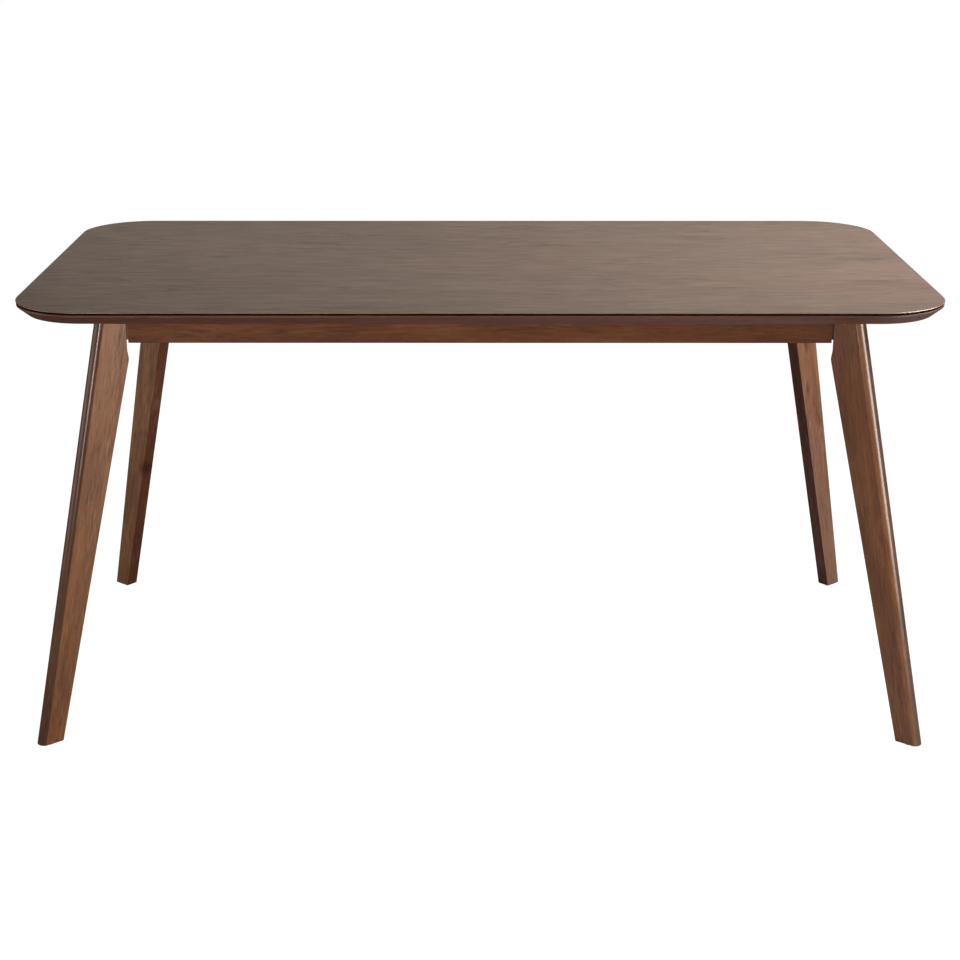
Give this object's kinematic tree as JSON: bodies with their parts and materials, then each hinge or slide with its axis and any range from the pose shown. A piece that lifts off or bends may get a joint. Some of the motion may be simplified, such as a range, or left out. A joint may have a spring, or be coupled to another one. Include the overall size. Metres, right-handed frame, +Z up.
{
  "type": "dining table",
  "caption": "Rectangular dining table with rounded corners, a bevelled top edge with a shadow groove, an apron frame and splayed plank legs set on the diagonal.",
  "frame": {"origin": "on the floor, under the middle of the table", "axes": "+X along the table's length, +Y from the front edge to the back edge, +Z up"},
  "size_m": [1.5, 0.8, 0.75],
  "materials": {
    "walnut_veneer": "satin lacquer over walnut face veneer",
    "board_edge": "satin lacquer over walnut-stained board",
    "backing_veneer": "thin matt lacquer",
    "apron_wood": "satin lacquer over walnut stain",
    "leg_wood": "satin lacquer over walnut stain",
    "block_wood": "walnut stain, sawn inner faces",
    "dowel_beech": "bare beech",
    "zinc_steel": "zinc plated",
    "glide_plastic": "moulded"
  },
  "bodies": {
    "root": {"top_veneer": "walnut_veneer", "top_core": "board_edge", "backing_veneer": "backing_veneer", "apron_front": "apron_wood", "apron_back": "apron_wood", "apron_left": "apron_wood", "apron_right": "apron_wood", "leg_back_right": "leg_wood", "leg_back_left": "leg_wood", "leg_front_right": "leg_wood", "leg_front_left": "leg_wood", "corner_block_back_right": "block_wood", "corner_block_back_left": "block_wood", "corner_block_front_right": "block_wood", "corner_block_front_left": "block_wood", "centre_rail": "block_wood", "hanger_bolts": "zinc_steel", "flat_washers": "zinc_steel", "lock_washers": "zinc_steel", "hex_nuts": "zinc_steel", "block_dowels": "dowel_beech", "block_screws": "zinc_steel", "rail_dowels": "dowel_beech", "top_clips": "zinc_steel", "clip_screws": "zinc_steel", "foot_glides": "glide_plastic"}
  },
  "joints": []
}
